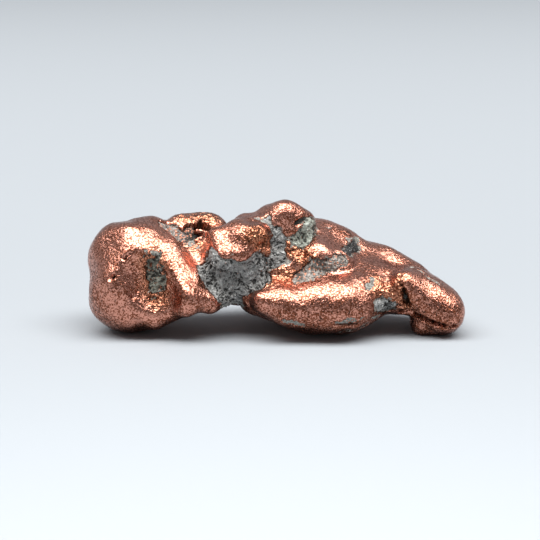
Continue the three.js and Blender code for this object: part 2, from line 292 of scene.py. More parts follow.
def closedGridMesh(name, grid, values):
    # first and last rows shrink to one point each, and the columns join up
    rows, turns = grid.shape[:2]
    points = np.vstack([grid[0, :1], grid[1:-1].reshape(-1, 3), grid[-1, :1]])
    i = np.arange(rows - 3)[:, None] * turns
    j = np.arange(turns)[None]
    k = (j + 1) % turns
    quads = np.stack([i + j, i + turns + j, i + turns + k, i + k], -1).reshape(-1, 4) + 1
    last = len(points) - 1
    head = np.stack([np.zeros(turns, int), j[0] + 1, k[0] + 1], -1)
    foot = (rows - 3) * turns + 1
    tail = np.stack([np.full(turns, last), foot + k[0], foot + j[0]], -1)
    flat = {n: np.concatenate([a[0, :1], a[1:-1].ravel(), a[-1, :1]]) for n, a in values.items()}
    return meshPiece(name, points, [quads, head, tail], flat)


def meshPiece(name, points, faceSets, values):
    # points in mm and index arrays become a smooth-shaded object, its faces turned outwards
    a, b, c = (points[faceSets[0][:, k]] for k in range(3))
    if np.einsum("ij,ij->i", a, np.cross(b, c)).sum() < 0:
        faceSets = [f[:, ::-1] for f in faceSets]
    mesh = bpy.data.meshes.new(name)
    sizes = np.concatenate([np.full(len(f), f.shape[1]) for f in faceSets])
    corners = np.concatenate([f.ravel() for f in faceSets])
    mesh.vertices.add(len(points))
    mesh.vertices.foreach_set("co", (points * mm).astype(np.float32).ravel())
    mesh.loops.add(len(corners))
    mesh.loops.foreach_set("vertex_index", corners.astype(np.int32))
    mesh.polygons.add(len(sizes))
    mesh.polygons.foreach_set("loop_start", (np.cumsum(sizes) - sizes).astype(np.int32))
    mesh.update(calc_edges=True)
    mesh.validate()
    mesh.shade_smooth()
    for n, value in values.items():
        layer = mesh.attributes.new(n, "FLOAT", "POINT")
        layer.data.foreach_set("value", value.astype(np.float32).ravel())
    piece = bpy.data.objects.new(name, mesh)
    bpy.context.scene.collection.objects.link(piece)
    return piece


# Rock fillings, in mm: the cones that each one's outline follows on the skin, how ragged that
# outline is and how rough the face is.
rockFillings = {
    "rock_main": {
        "piece": "mainRock", "slot": "rock_grey", "ragged": 0.6, "rough": 0.42,
        "cones": (((-10.8, -4.6, 13, 2.4), (-9.2, -3.6, 7.6, 2.9)),
                  ((-9.2, -3.6, 7.6, 2.9), (-7.4, -3.2, 5.8, 2.2)),
                  ((-10.2, -4.6, 12.6, 2.2), (-4, -4.2, 12.4, 2.4)),
                  ((-8.2, -3.6, 8.4, 2.8), (-3.6, -3.6, 10.4, 2.4)),
                  ((-4, -3.8, 11.6, 2), (-0.2, -2.4, 13, 1.5)),
                  ((-0.2, -2.4, 13, 1.5), (0.2, -1.3, 16.2, 1.2)),
                  ((0.2, -1.3, 16.2, 1.2), (-1.6, -0.3, 18.6, 0.8))),
    },
    "rock_head": {
        "piece": "headRock", "slot": "rock_grey", "look": "green_grey", "ragged": 1.6, "rough": 0.34,
        "cones": (((-20.2, -5.1, 12.9, 1.2), (-19.4, -4.7, 10.4, 1.4)),
                  ((-19.4, -4.7, 10.4, 1.4), (-19.9, -4.7, 8.4, 1))),
    },
    "rock_neck": {
        "piece": "neckRock", "slot": "rock_pale", "look": "neck_grey", "ragged": 0.8, "rough": 0.2,
        "cones": (((-18.4, 1.4, 17.3, 1.4), (-16, 1, 15.6, 1.2)),),
    },
    "rock_green": {
        "piece": "greenRock", "slot": "rock_green", "ragged": 0.6, "rough": 0.3,
        "cones": (((3.5, -0.4, 15.4, 1.4), (5.7, 1.2, 17.6, 1.5)),),
    },
    "rock_streak": {
        "piece": "streakRock", "slot": "rock_pale", "ragged": 0.6, "rough": 0.22,
        "cones": (((3.4, -3.7, 9.8, 1.1), (6.2, -3.3, 11.2, 1.7)),
                  ((6.2, -3.3, 11.2, 1.7), (10.4, -2.6, 12.8, 1.2))),
    },
    # a near-black stone fills the slot: painted shade standing for the dark of that gap
    "rock_slot": {
        "piece": "slotRock", "slot": "rock_dark", "ragged": 0.4, "rough": 0.2,
        "cones": (((11.6, -0.2, 13.5, 1.1), (13.2, 3.4, 13.9, 1.1)),),
    },
    "rock_elbow": {
        "piece": "elbowRock", "slot": "rock_grey", "ragged": 0.6, "rough": 0.25,
        "cones": (((16.2, -5.4, 6, 1.2), (18.2, -4.4, 5.4, 1.4)),),
    },
    "rock_belly": {
        "piece": "bellyRock", "slot": "rock_pale", "ragged": 0.25, "rough": 0.15,
        "cones": (((10.8, -6.6, 2.4, 0.9), (13.8, -6, 3, 0.9)),),
    },
    "rock_back": {
        "piece": "backRock", "slot": "rock_grey", "ragged": 0.8, "rough": 0.4,
        "cones": (((-9.4, 7.8, 10.6, 2.4), (-8.8, 8.6, 6.6, 2)),
                  ((-9.4, 7.8, 10.6, 2.4), (-8.2, 7.6, 12.6, 1.5))),
    },
    "rock_back_tail": {
        "piece": "backTailRock", "slot": "rock_pale", "ragged": 0.7, "rough": 0.25,
        "cones": (((13.6, 11, 7.2, 1.6), (17.4, 10.6, 6.2, 1.2)),),
    },
}


outlineNoise = {"broad": (0.62, 3, 11), "fine": (1.7, 3, 23)}  # cells to the mm, octaves, seed


def nearestCone(p, cones):
    return np.minimum.reduce([coneDistance(p, cone)[0] for cone in cones])


def rockInside(p, rock):
    # how far inside the rock's outline a skin point lies, in mm, with the outline torn by noise
    torn = 0.9 * cloudNoise(p, *outlineNoise["broad"]) + 0.75 * cloudNoise(p, *outlineNoise["fine"])
    return -nearestCone(p, rock["cones"]) + rock["ragged"] * torn


# Metal that was never polished, in mm: a cone, how far its edge fades and how raw it is.
rawPlaces = (
    (((-20.2, -5.6, 13, 2.2), (-19.6, -5.2, 7.6, 2.4)), 1.2, 0.9),  # hollow of the head
    (((-3.6, -4.6, 17.4, 1.7), (-2.2, -3.7, 15.2, 1.9)), 0.9, 0.9),  # end of the thumb
    (((-16.2, 4.6, 18.6, 1.8), (-10.8, 4.2, 18.6, 2.2)), 1.5, 0.8),  # top of the back dome
    (((-14.9, 1.4, 15.4, 1.2), (-12.4, 0.2, 14.2, 1.4)), 0.9, 0.9),  # under the dome
    (((2.6, -1.4, 14.8, 1.7), (5, -2.8, 12.4, 1.8)), 1.0, 1.0),  # valley under the knob
    (((-3.4, -4.8, 9.4, 1.6), (2.6, -3.8, 10.4, 1.5)), 0.8, 0.9),  # over the front lobe
    (((16.2, -4.8, 9.2, 1.8), (18.4, -4.9, 6.8, 2)), 1.2, 0.8),  # root of the tail
    (((19.9, -4.6, 9.8, 1), (20.8, -5, 5.4, 1.3)), 0.7, 0.9),  # behind the tip
    (((6, 11.5, 12, 2.4), (10, 11.4, 10, 2)), 1.6, 0.8),  # back, under the ridge
    (((-20, 10.8, 12, 2), (-17, 10.6, 8, 2.4)), 1.6, 0.8),  # back of the head
)
# Pits and cracks: a cone, how far the rim fades and how deep, in mm; each is also painted dark as painted
# shade.
pitPlaces = {
    "valleyPit": (((-5.1, -4.9, 8.2, 0.6), (-3.2, -4.8, 9.3, 0.7)), 0.4, 0.9),
    "tipGroove": (((19.9, -4.4, 10.4, 0.2), (20.4, -5.6, 8.4, 0.4)), 0.3, 0.6),
    "tipGrooveLow": (((20.4, -5.6, 8.4, 0.4), (21, -5, 5.8, 0.55)), 0.3, 0.9),
    "lipCrack": (((21, -3.4, 4.2, 0.9), (24.1, -5.1, 3.2, 0.6)), 0.3, 1.6),
    "lipCrackMiddle": (((24.1, -5.1, 3.2, 0.55), (26.8, -6.1, 2.5, 0.35)), 0.25, 1.3),
    "lipCrackEnd": (((26.8, -6.1, 2.5, 0.35), (29.4, -5.4, 2.3, 0.2)), 0.25, 0.9),
    "thumbGroove": (((0.1, -1.6, 17.2, 0.45), (-1.3, -1.4, 18.5, 0.35)), 0.3, 0.5),
    "thumbGrooveTop": (((-1.3, -1.4, 18.5, 0.35), (-3.6, -0.3, 19.4, 0.2)), 0.3, 0.45),
    "greenCrevice": (((3.2, -0.6, 18.2, 0.35), (5, 0.9, 19.3, 0.4)), 0.3, 0.9),
    "bellyCrevice": (((9.4, -9.1, 3.3, 0.25), (12.8, -8, 3.2, 0.3)), 0.3, 0.4),
    "headPit": (((-26.9, -6.7, 10.8, 0.4), (-26.6, -6.8, 11, 0.4)), 0.3, 0.8),
    "headNick": (((-24.8, -5.8, 13.8, 0.25), (-23.8, -5.7, 14.4, 0.2)), 0.2, 0.7),
    "headDimple": (((-23.5, -6.4, 7.5, 0.2), (-23.2, -6.4, 7.5, 0.2)), 0.4, 0.35),
    "backPit": (((-2, 11.4, 12.8, 0.5), (0.4, 12, 12.1, 0.8)), 0.4, 0.9),
    "backHeadNick": (((-23.4, 11.3, 10.6, 0.3), (-21.4, 11.6, 11, 0.15)), 0.25, 0.5),
    "backDomePit": (((-14.6, 9.6, 15.8, 0.45), (-13.8, 9.6, 15.5, 0.35)), 0.3, 0.6),
    "backTailNick": (((19.4, 9.8, 9, 0.3), (21.4, 9.2, 8.4, 0.15)), 0.25, 0.5),
    "headEndPit": (((-31, 1.4, 10.4, 0.4), (-31, 2.2, 9.8, 0.3)), 0.3, 0.5),
}
# Rock left on the copper in specks and small patches: a cone and how thick it lies.
dustPlaces = (
    (((22.2, -0.8, 11.1, 0.5), (24.8, -3, 9.7, 0.4)), 0.75),  # specks along the tip's top
    (((25, -2.8, 9.5, 0.4), (26.4, -2.8, 8.9, 0.4)), 0.65),
    (((15.6, -4.3, 9.7, 0.7), (14.8, -5.9, 8.6, 0.9)), 1.0),  # tail root
    (((15.8, -6.4, 6.2, 0.8), (18, -5, 6.2, 0.8)), 0.9),
    (((0.4, -8.9, 4.4, 0.5), (4.2, -8.2, 3.2, 0.5)), 1.0),  # belly
    (((9.7, -9.2, 3.9, 0.5), (13.2, -8.3, 4, 0.6)), 1.1),
    (((0.1, -1.6, 17.2, 0.6), (-1.3, -1.4, 18.5, 0.6)), 1.2),  # above the end of the thumb
    (((-1.3, -1.4, 18.5, 0.6), (-3.6, -0.3, 19.4, 0.4)), 1.1),
    (((15.2, -6.8, 3.9, 0.5), (17, -4.8, 3.8, 0.5)), 0.8),
    (((11.4, 2.6, 15.2, 0.4), (13.4, 4.9, 14.6, 0.5)), 1.1),  # above the slot
    (((7.4, 2.8, 17.6, 0.5), (8.4, 4, 17.2, 0.5)), 0.8),
    (((-21.3, -5.5, 14.8, 0.7), (-19.4, -5.4, 14.3, 0.8)), 0.9),  # top of the head's hollow
    (((-15.2, 1.2, 15.2, 0.6), (-13, 0.6, 14.4, 0.7)), 0.9),  # foot of the dome
    (((-1.2, -3.6, 11.6, 0.6), (1.6, -2.6, 12.4, 0.6)), 0.8),
    (((-19, 10.8, 11, 1.2), (-17, 10.6, 7.6, 1.2)), 0.8),
    (((7, 11.4, 11.4, 1.2), (9.6, 11.2, 9.8, 1.0)), 0.8),
)
# Places made darker and more worn, given like the raw ones, and below zero brighter and more polished:
# painted shade on the knob, the head's left side and the low faces, a painted reflection under the head
# and a painted highlight on the terrace; the thumb's end and the spot by the slot are only made darker.
wearAndPaintedLightPlaces = (
    (((-5, -4.2, 16.8, 1.6), (-1, -3.2, 17, 1.8)), 1.2, 0.9),  # right end of the thumb
    (((11.1, 3.7, 15.9, 0.6), (11.6, 4.2, 15.8, 0.6)), 0.6, 1.0),  # by the slot
    (((-1.4, -0.2, 19.9, 1.6), (1.6, -0.2, 19.4, 1.6)), 1.2, 0.2),  # painted shade on the left slope of the knob
    (((-30, -2, 9, 2.4), (-29, -4, 6, 2.4)), 2.5, 0.4),  # painted shade on the left side of the head
    (((-26.4, -6, 4.6, 2), (-20, -6.4, 4.8, 2)), 1.6, -0.6),  # painted reflection: brighter under the head
    (((2, -8.6, 4, 1.6), (11, -9, 3.6, 2)), 2, 0.5),  # painted shade on the under side of the front lobe
    (((25, -6, 5, 1.6), (29, -5.4, 4.4, 1.6)), 1.6, 0.3),  # painted shade low on the tip
    (((7.2, -2.4, 14.6, 1), (9.4, -2.4, 14.4, 1)), 1, -0.7),  # painted highlight: brighter on the terrace
)
# Hole in the back dome: a rounded box with torn walls, and a bead of copper inside it; the inside of the
# hole is painted dark as painted shade.
domeHole = {
    "centre": (-13.5, 1.6, 16.7), "half": (2.3, 2.2, 1.25), "lean": 0.3, "depth": 1.6,
    "bead": ((-13.3, 1.8, 16.7, 0.5), (-12.3, 1.8, 16.5, 0.45)),
}


# cells to the mm, octaves and seed of each noise on the metal
metalNoise = {
    "torn": (1.7, 3, 31), "rawEdge": (0.7, 2, 37), "dustEdge": (1.3, 3, 41), "wearAndPaintedLightEdge": (0.5, 2, 43),
    "broadLump": (0.32, 2, 61), "smallLump": (1.1, 2, 67), "rawLump": (1.5, 2, 71), "pocks": (0.85, 3, 73),
    "broadWear": (0.22, 2, 79), "mottledWear": (1.15, 2, 97),
}
metalGrains = (1.35, 51)  # cells to the mm and seed
# heights in mm
metalRelief = {
    "rockSeat": 1.15, "beadRise": 0.35, "broadLump": 0.10, "smallLump": 0.028,
    "rawGrain": 0.20, "rawLump": 0.16, "pock": 0.22, "dust": 0.12,
}


def metalPiece(grid):
    # the skin moved along its normals: up by lumps and by grain where raw, down into seats for
    # the rock, pits and pocks; how raw, dusty and worn each point is, and where shade is painted
    normals = skinNormals(grid)
    noise = {name: cloudNoise(grid, *setting) for name, setting in metalNoise.items()}
    torn = noise["torn"]
    sunk = np.zeros(grid.shape[:-1])
    paintedShade = np.zeros(grid.shape[:-1])
    dust = np.zeros(grid.shape[:-1])
    for rock in rockFillings.values():
        inside = rockInside(grid, rock)
        sunk = np.maximum(sunk, metalRelief["rockSeat"] * smoothStep(-0.05, 0.4, inside))
        # painted shade: the copper darkens where it runs under the rock
        paintedShade = np.maximum(paintedShade, smoothStep(-0.25, 0.12, inside + 0.25 * torn))
        dust = np.maximum(dust, 0.55 * smoothStep(-0.4, 0.1, inside + 0.9 * torn))
    for cone, fade, depth in pitPlaces.values():
        inside = -coneDistance(grid, cone)[0] + 0.3 * torn
        sunk = np.maximum(sunk, depth * smoothStep(-fade, fade, inside))
        # painted shade in the pits and cracks
        paintedShade = np.maximum(paintedShade, smoothStep(-0.3 * fade, 0.6 * fade, inside))
    across = grid - domeHole["centre"]
    across[..., 2] -= domeHole["lean"] * across[..., 0]
    offset = ((np.abs(across) / domeHole["half"]) ** 4).sum(-1) ** 0.25
    inside = 1 - offset + 0.4 * torn
    bead = smoothStep(-0.5, 0.35, -coneDistance(grid, domeHole["bead"])[0])
    sunk = np.maximum(sunk, domeHole["depth"] * smoothStep(0, 0.3, inside) * (1 - 0.95 * bead))
    # painted shade inside the dome's hole, left off the bead
    paintedShade = np.maximum(paintedShade, 0.92 * smoothStep(0, 0.12, inside + 0.3 * torn) * (1 - bead))
    sunk -= metalRelief["beadRise"] * bead
    raw = np.zeros(grid.shape[:-1])
    for cone, fade, strength in rawPlaces:
        inside = -coneDistance(grid, cone)[0] + 0.9 * noise["rawEdge"]
        raw = np.maximum(raw, strength * smoothStep(-fade, fade, inside))
    for cone, strength in dustPlaces:
        inside = -coneDistance(grid, cone)[0] + 1.1 * noise["dustEdge"]
        dust = np.maximum(dust, strength * smoothStep(0.0, 0.35, inside))
    near, second = grainNoise(grid, *metalGrains)
    grains = (second - near) - 0.3
    lump = metalRelief["broadLump"] * noise["broadLump"] + metalRelief["smallLump"] * noise["smallLump"]
    rough = raw * (metalRelief["rawGrain"] * grains + metalRelief["rawLump"] * noise["rawLump"])
    pocked = metalRelief["pock"] * smoothStep(0.42, 0.62, noise["pocks"]) * (0.25 + raw)
    height = lump + rough - pocked - metalRelief["dust"] * np.clip(dust, 0, 1) - sunk
    shaped = grid + normals * height[..., None]
    shaped[..., 2] = np.maximum(shaped[..., 2], 0)
    # painted shade in the pocks
    paintedShade = np.maximum(paintedShade, smoothStep(0.08, 0.2, pocked) * 0.8)
    # painted shade: faces that turn downwards are darker, and more mottled
    facingUp = normals[..., 2]
    wearAndPaintedLight = 0.35 + 0.4 * smoothStep(0.25, -0.5, facingUp) + 0.5 * noise["broadWear"]
    wearAndPaintedLight += 0.9 * noise["mottledWear"] * smoothStep(0.6, -0.2, facingUp)
    # painted shade, painted reflection and painted highlight join the wear here
    for cone, fade, strength in wearAndPaintedLightPlaces:
        inside = -coneDistance(grid, cone)[0] + 0.8 * noise["wearAndPaintedLightEdge"]
        wearAndPaintedLight += strength * smoothStep(-fade, fade, inside)
    values = {"raw": raw, "paintedShade": paintedShade, "dust": dust, "wearAndPaintedLight": wearAndPaintedLight}
    return shaped, {name: np.clip(value, 0, 1) for name, value in values.items()}


def windowOf(mask):
    # rows and columns of the smallest window over the mask, with the columns rolled so that
    # it never runs over the join
    rows = np.flatnonzero(mask.any(1))
    shift = mask.shape[1] // 2 - int(round(np.angle(
        (mask.any(0) * np.exp(2j * np.pi * np.arange(mask.shape[1]) / mask.shape[1])).sum()
    ) / (2 * np.pi) * mask.shape[1]))
    columns = np.flatnonzero(np.roll(mask, shift, 1).any(0))
    return shift, slice(max(rows[0] - 2, 1), rows[-1] + 3), slice(columns[0] - 2, columns[-1] + 3)


def finerPatch(patch, times):
    # an open grid with `times` as many steps both ways
    rows, columns = patch.shape[:2]
    r = np.linspace(0, rows - 1, (rows - 1) * times + 1)
    c = np.linspace(0, columns - 1, (columns - 1) * times + 1)
    r0, c0 = np.minimum(r.astype(int), rows - 2), np.minimum(c.astype(int), columns - 2)
    fr, fc = (r - r0)[:, None, None], (c - c0)[None, :, None]
    low = patch[r0][:, c0] * (1 - fc) + patch[r0][:, c0 + 1] * fc
    high = patch[r0 + 1][:, c0] * (1 - fc) + patch[r0 + 1][:, c0 + 1] * fc
    return low * (1 - fr) + high * fr


# cells to the mm, octaves and seed of each noise on the rock
rockNoise = {"broad": (0.55, 2, 85), "fine": (2.4, 2, 87), "strands": (1.5, 2, 83)}
rockCurl = {"scale": 0.9, "octaves": 2, "seeds": (101, 103, 107), "reach": 0.9, "thin": 3.2}
rockGrains = {"coarse": (1.25, 81), "fine": (3.1, 91)}  # cells to the mm and seed
# depths in mm under the skin, and how much wider than its outline the lens is
rockDepth = {"face": 0.16, "faceFall": 0.42, "faceMost": 0.95, "edge": 0.75, "back": 0.45, "backFall": 0.5}
rockPatch = {"margin": 0.75, "finer": 2, "rimSteps": 5}


def rockLumps(patch):
    # broad and fine noise, two sizes of grain, and strands along the zeros of a noise whose
    # points are first pushed about by another
    near, second = grainNoise(patch, *rockGrains["coarse"])
    fineNear, fineSecond = grainNoise(patch, *rockGrains["fine"])
    curl = np.stack([cloudNoise(patch, rockCurl["scale"], rockCurl["octaves"], seed)
                     for seed in rockCurl["seeds"]], -1)
    winding = cloudNoise(patch + rockCurl["reach"] * curl, *rockNoise["strands"])
    strands = 1 - np.minimum(rockCurl["thin"] * np.abs(winding), 1)
    return (0.45 * cloudNoise(patch, *rockNoise["broad"]) + 0.35 * ((second - near) - 0.35)
            + 0.55 * (strands - 0.45) + 0.35 * cloudNoise(patch, *rockNoise["fine"])
            + 0.40 * ((fineSecond - fineNear) - 0.3))


def rockPiece(rock, grid, toMiddle):
    # a lens over a window of the skin: the face is the skin sunk a little and roughened, the
    # back is the skin sunk more, and both meet at one depth along the window's edge
    shift, rows, columns = windowOf(rockInside(grid, rock) > -rockPatch["margin"])
    patch = np.roll(grid, shift, 1)[rows, columns]
    patch = dropToSkin(finerPatch(patch, rockPatch["finer"]), 2)
    normals = skinNormals(patch)
    inside = rockInside(patch, rock)
    n, m = patch.shape[:2]
    r, c = np.arange(n), np.arange(m)
    edge = np.minimum.outer(np.minimum(r, n - 1 - r), np.minimum(c, m - 1 - c))
    rim = smoothStep(0, rockPatch["rimSteps"], edge.astype(float))
    lumps = rockLumps(patch)
    core = smoothStep(-0.5, 0.7, inside)
    face = rockDepth["face"] + rockDepth["faceFall"] * (1 - core)
    face -= rock["rough"] * lumps * smoothStep(-0.6, 0.3, inside)
    face = np.minimum(face, rockDepth["faceMost"])
    face = rockDepth["edge"] + (face - rockDepth["edge"]) * rim
    back = rockDepth["edge"] + (rockDepth["back"] + rockDepth["backFall"] * core) * rim
    top = patch - normals * face[..., None] + toMiddle
    low = patch - normals * back[..., None] + toMiddle
    return patchMesh(rock["piece"], top, low, {"crest": np.clip(0.5 + lumps, 0, 1), "core": core})


def patchMesh(name, top, low, values):
    # two open grids that share their border points
    n, m = top.shape[:2]
    index = np.arange(n * m).reshape(n, m)
    inner = np.zeros((n, m), bool)
    inner[1:-1, 1:-1] = True
    under = index.copy()
    under[inner] = n * m + np.arange(inner.sum())
    points = np.vstack([top.reshape(-1, 3), low[inner]])
    quads = []
    for grid, flip in ((index, False), (under, True)):
        q = np.stack([grid[:-1, :-1], grid[1:, :-1], grid[1:, 1:], grid[:-1, 1:]], -1).reshape(-1, 4)
        quads.append(q[:, ::-1] if flip else q)
    flat = {k: np.concatenate([a.ravel(), a[inner]]) for k, a in values.items()}
    return meshPiece(name, points, [np.vstack(quads)], flat)


def newMaterial(name):
    material = bpy.data.materials.new(name)
    material.use_nodes = True
    nodes, links = material.node_tree.nodes, material.node_tree.links
    nodes.clear()
    output = nodes.new("ShaderNodeOutputMaterial")
    shader = nodes.new("ShaderNodeBsdfPrincipled")
    links.new(shader.outputs[0], output.inputs[0])
    return material, nodes, links, shader


def noiseNode(nodes, links, coords, scale, detail, roughness=0.55, distortion=0.0):
    node = nodes.new("ShaderNodeTexNoise")
    node.inputs["Scale"].default_value = scale
    node.inputs["Detail"].default_value = detail
    node.inputs["Roughness"].default_value = roughness
    node.inputs["Distortion"].default_value = distortion
    links.new(coords, node.inputs["Vector"])
    return node.outputs["Fac"]


def grainNode(nodes, links, coords, scale, feature="F1", output="Distance"):
    node = nodes.new("ShaderNodeTexVoronoi")
    node.feature = feature
    node.inputs["Scale"].default_value = scale
    links.new(coords, node.inputs["Vector"])
    return node.outputs[output]


def rampNode(nodes, links, value, low, high, lowTo=0.0, highTo=1.0):
    node = nodes.new("ShaderNodeMapRange")
    node.interpolation_type = "SMOOTHSTEP"
    for key, number in (("From Min", low), ("From Max", high), ("To Min", lowTo), ("To Max", highTo)):
        node.inputs[key].default_value = number
    links.new(value, node.inputs["Value"])
    return node.outputs["Result"]


def mathNode(nodes, links, kind, a, b):
    node = nodes.new("ShaderNodeMath")
    node.operation = kind
    for socket, value in zip(node.inputs, (a, b)):
        if isinstance(value, (int, float)):
            socket.default_value = value
        else:
            links.new(value, socket)
    return node.outputs[0]


def swayNode(nodes, links, value, amount):
    # how far the value is over or under a half, times the amount
    return mathNode(nodes, links, "MULTIPLY", mathNode(nodes, links, "SUBTRACT", value, 0.5), amount)


def mixColour(nodes, links, amount, a, b):
    node = nodes.new("ShaderNodeMix")
    node.data_type = "RGBA"
    links.new(amount, node.inputs["Factor"])
    for socket, value in ((node.inputs[6], a), (node.inputs[7], b)):
        if isinstance(value, tuple):
            socket.default_value = (*value, 1)
        else:
            links.new(value, socket)
    return node.outputs[2]


def bumpNode(nodes, links, height, distance, strength, normal=None):
    node = nodes.new("ShaderNodeBump")
    node.inputs["Strength"].default_value = strength
    node.inputs["Distance"].default_value = distance
    links.new(height, node.inputs["Height"])
    if normal is not None:
        links.new(normal, node.inputs["Normal"])
    return node.outputs["Normal"]


def attributeNode(nodes, name):
    node = nodes.new("ShaderNodeAttribute")
    node.attribute_name = name
    return node.outputs["Fac"]


def objectCoords(nodes):
    return nodes.new("ShaderNodeTexCoord").outputs["Object"]


copperGrain = {"mottle": 3200, "ripple": 1100, "specks": 3000, "grains": 1500}  # cells to the metre
copperLook = {
    "polished": (0.70, 0.318, 0.232),
    "worn": (0.215, 0.069, 0.036),
    "raw": (0.72, 0.30, 0.165),
    "rawDark": (0.17, 0.055, 0.026),
    # near black: the painted shade, and the random pits
    "pitsAndPaintedShade": (0.035, 0.018, 0.012),
    "dustDark": (0.10, 0.09, 0.075),
    "dustPale": (0.37, 0.36, 0.32),
}


# roughness of polished and worn copper, what raw copper adds to it and that of dusty copper and the
# painted shade, and bumps as (height in metres, strength)
copperFinish = {
    "polishedRough": 0.08, "wornRough": 0.30, "rawAdds": 0.04, "dustAndShadeRough": 0.75,
    "rippleBump": (0.00016, 0.8), "mottleBump": (0.00011, 0.8), "grainBump": (0.00030, 0.9),
}


def copperMaterial():
    material, nodes, links, shader = newMaterial("polishedCopper")
    coords = objectCoords(nodes)
    raw, paintedShade, dust, wearAndPaintedLight = (attributeNode(nodes, n) for n in ("raw", "paintedShade", "dust", "wearAndPaintedLight"))
    mottle = noiseNode(nodes, links, coords, copperGrain["mottle"], 2, 0.8)
    ripple = noiseNode(nodes, links, coords, copperGrain["ripple"], 3, 0.6)
    specks = noiseNode(nodes, links, coords, copperGrain["specks"], 2, 0.6)
    grains = grainNode(nodes, links, coords, copperGrain["grains"], "F2")
    # colour: polished, worn brown between the bright points, redder where it was never polished; the wear
    # mask also carries painted shade, a painted reflection and a painted highlight
    spotted = mathNode(nodes, links, "ADD", mottle, swayNode(nodes, links, wearAndPaintedLight, 0.11))
    colour = mixColour(nodes, links, rampNode(nodes, links, spotted, 0.46, 0.54),
                       copperLook["polished"], copperLook["worn"])
    rawColour = mixColour(nodes, links, rampNode(nodes, links, mottle, 0.42, 0.58),
                          copperLook["raw"], copperLook["rawDark"])
    colour = mixColour(nodes, links, mathNode(nodes, links, "MULTIPLY", raw, 0.85), colour, rawColour)
    pits = mathNode(nodes, links, "ADD", specks, swayNode(nodes, links, wearAndPaintedLight, 0.06))
    pits = rampNode(nodes, links, pits, 0.60, 0.65)
    pits = mathNode(nodes, links, "MULTIPLY", pits, mathNode(
        nodes, links, "ADD", mathNode(nodes, links, "MULTIPLY", wearAndPaintedLight, 0.5), 0.45))
    # painted shade: seats, pits, cracks, pocks and the dome's hole go near black, and so do the random
    # specks
    colour = mixColour(nodes, links, mathNode(nodes, links, "MAXIMUM", paintedShade, pits),
                       colour, copperLook["pitsAndPaintedShade"])
    dusty = mathNode(nodes, links, "ADD", dust, swayNode(nodes, links, specks, 1.6))
    dusty = rampNode(nodes, links, dusty, 0.45, 0.60)
    dusty = mathNode(nodes, links, "MULTIPLY", dusty, rampNode(nodes, links, dust, 0.05, 0.3))
    dustTone = mixColour(nodes, links, rampNode(nodes, links, mottle, 0.38, 0.60),
                         copperLook["dustDark"], copperLook["dustPale"])
    colour = mixColour(nodes, links, dusty, colour, dustTone)
    links.new(colour, shader.inputs["Base Color"])
    links.new(mathNode(nodes, links, "SUBTRACT", 1.0, dusty), shader.inputs["Metallic"])
    rubbed = rampNode(nodes, links, spotted, 0.44, 0.56, copperFinish["polishedRough"],
                      copperFinish["wornRough"])
    roughness = mathNode(nodes, links, "ADD", rubbed,
                         mathNode(nodes, links, "MULTIPLY", raw, copperFinish["rawAdds"]))
    roughness = mathNode(nodes, links, "MAXIMUM", roughness, mathNode(
        nodes, links, "MULTIPLY", mathNode(nodes, links, "MAXIMUM", dusty, paintedShade),
        copperFinish["dustAndShadeRough"]))
    links.new(roughness, shader.inputs["Roughness"])
    normal = bumpNode(nodes, links, ripple, *copperFinish["rippleBump"])
    normal = bumpNode(nodes, links, mottle, *copperFinish["mottleBump"], normal)
    height = mathNode(nodes, links, "MULTIPLY", grains, mathNode(
        nodes, links, "ADD", raw, mathNode(nodes, links, "MULTIPLY", wearAndPaintedLight, 0.3)))
    normal = bumpNode(nodes, links, height, *copperFinish["grainBump"], normal)
    links.new(normal, shader.inputs["Normal"])
    return material


rockGrain = {"clouds": 1500, "fine": 3600, "grains": 2600, "flecks": 2400}  # cells to the metre
# colours of each rock, the deep one also serving as painted shade, and how rare the flecks of copper in it
# are
rockLooks = {
    "rock_grey": {
        "flecks": 0.71, "deep": (0.035, 0.033, 0.030),
        "mid": (0.36, 0.356, 0.338), "light": (0.62, 0.62, 0.60),
    },
    "neck_grey": {
        "flecks": 0.53, "deep": (0.06, 0.05, 0.042),
        "mid": (0.27, 0.245, 0.22), "light": (0.5, 0.48, 0.44),
    },
    "green_grey": {
        "flecks": 0.62, "deep": (0.04, 0.038, 0.028),
        "mid": (0.27, 0.265, 0.21), "light": (0.56, 0.57, 0.47),
    },
    "rock_green": {
        "flecks": 0.70, "deep": (0.035, 0.036, 0.028),
        "mid": (0.36, 0.38, 0.32), "light": (0.66, 0.70, 0.61),
    },
    "rock_pale": {
        "flecks": 0.57, "deep": (0.12, 0.10, 0.085),
        "mid": (0.33, 0.30, 0.265), "light": (0.54, 0.51, 0.46),
    },
    # near black: painted shade for the gap of the slot
    "rock_dark": {
        "flecks": 0.70, "deep": (0.008, 0.008, 0.008),
        "mid": (0.035, 0.033, 0.032), "light": (0.22, 0.21, 0.20),
    },
}
fleckColours = {"white": (0.80, 0.79, 0.75), "copper": (0.75, 0.36, 0.24)}
rockFinish = {
    "stoneRough": 0.72, "fleckRough": 0.3, "specular": 0.5,
    "cloudBump": (0.0005, 0.8), "grainBump": (0.00025, 0.9),
}


